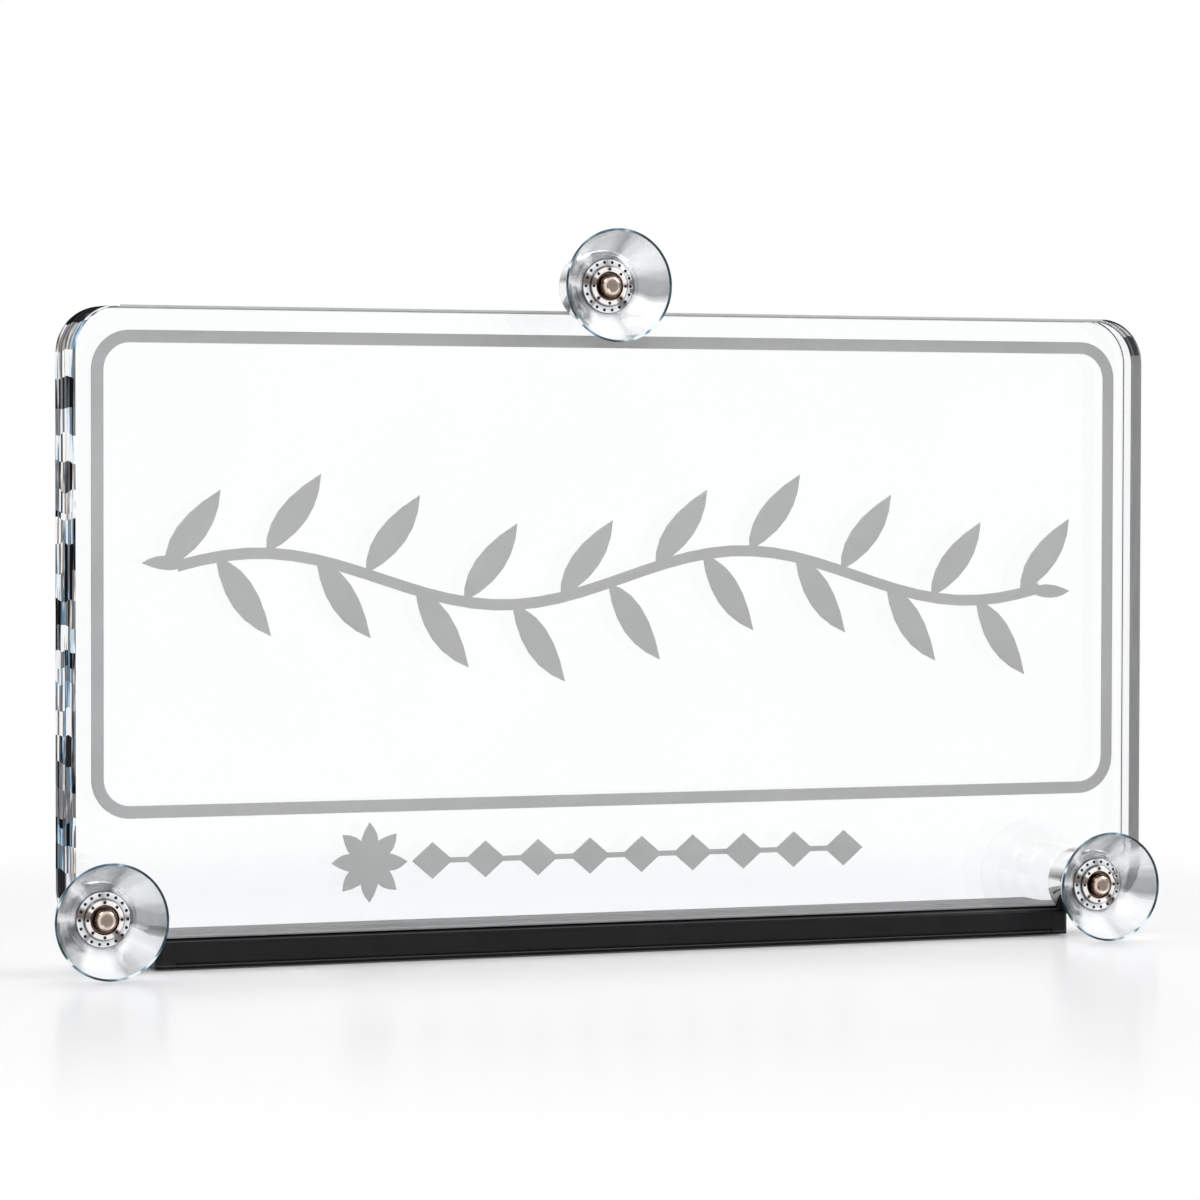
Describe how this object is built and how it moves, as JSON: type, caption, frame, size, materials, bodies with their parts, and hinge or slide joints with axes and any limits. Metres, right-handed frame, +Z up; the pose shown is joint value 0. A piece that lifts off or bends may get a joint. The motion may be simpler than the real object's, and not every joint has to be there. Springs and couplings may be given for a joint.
{
  "type": "name sign",
  "caption": "Clear two-plate name sign with frosted inlays, a lit black base rail and three clear suction cups on its front.",
  "frame": {"origin": "under the middle of the rail, on the surface that the sign stands on", "axes": "+X along the sign to the viewer's right, +Y from the front with the suction cups towards the back, +Z up"},
  "size_m": [0.3618, 0.0632, 0.2187],
  "materials": {
    "acrylic": "clear polished acrylic sheet",
    "frosted": "fine frosted grey",
    "rail_black": "glossy black",
    "pad_rubber": "matte rubber",
    "cup_clear": "soft clear vinyl",
    "collar_chrome": "polished chrome",
    "nut_bronze": "warm polished bronze",
    "screw_steel": "dark machine finish",
    "board_white": "white solder mask",
    "board_green": "green solder mask",
    "light_phosphor": "soft yellow phosphor"
  },
  "bodies": {
    "base": {"rail_body": "rail_black", "end_cap_left": "rail_black", "end_cap_right": "rail_black", "cap_screw_left_front": "screw_steel", "cap_screw_left_back": "screw_steel", "cap_screw_right_front": "screw_steel", "cap_screw_right_back": "screw_steel", "base_cover": "rail_black", "cover_screw_1": "screw_steel", "cover_screw_2": "screw_steel", "cover_screw_3": "screw_steel", "cover_screw_4": "screw_steel", "foot_pad": "pad_rubber", "light_board": "board_white", "light_strip": "light_phosphor", "control_board": "board_green", "power_inlet": "screw_steel", "switch_body": "pad_rubber"},
    "button": {"push_button": "rail_black"},
    "panel": {"front_plate": "acrylic", "rear_plate": "acrylic", "border_inlay": "frosted", "branch_inlay": "frosted", "rosette_inlay": "frosted", "bead_inlay": "frosted", "barrel_top": "collar_chrome", "barrel_left": "collar_chrome", "barrel_right": "collar_chrome", "stud_top": "screw_steel", "stud_left": "screw_steel", "stud_right": "screw_steel", "collar_top": "collar_chrome", "collar_left": "collar_chrome", "collar_right": "collar_chrome", "cap_nut_top": "nut_bronze", "cap_nut_left": "nut_bronze", "cap_nut_right": "nut_bronze"},
    "suction_cup_top": {"cup_top": "cup_clear"},
    "suction_cup_left": {"cup_left": "cup_clear"},
    "suction_cup_right": {"cup_right": "cup_clear"}
  },
  "joints": [
    {"name": "panel_lift", "type": "slide", "parent": "base", "child": "panel", "axis": [0, 0, 1], "range_m": [0, 0.005]},
    {"name": "button_press", "type": "slide", "parent": "base", "child": "button", "axis": [0, -1, 0], "range_m": [0, 0.0008], "stiffness_N_per_m": 400, "springref_m": -0.0008},
    {"name": "cup_top_spin", "type": "hinge", "parent": "panel", "child": "suction_cup_top", "pos_m": [-0.0133, -0.02, 0.2017], "axis": [0, -1, 0], "continuous": true},
    {"name": "cup_left_spin", "type": "hinge", "parent": "panel", "child": "suction_cup_left", "pos_m": [-0.1698, -0.02, 0.0171], "axis": [0, -1, 0], "continuous": true},
    {"name": "cup_right_spin", "type": "hinge", "parent": "panel", "child": "suction_cup_right", "pos_m": [0.153, -0.02, 0.0171], "axis": [0, -1, 0], "continuous": true}
  ]
}
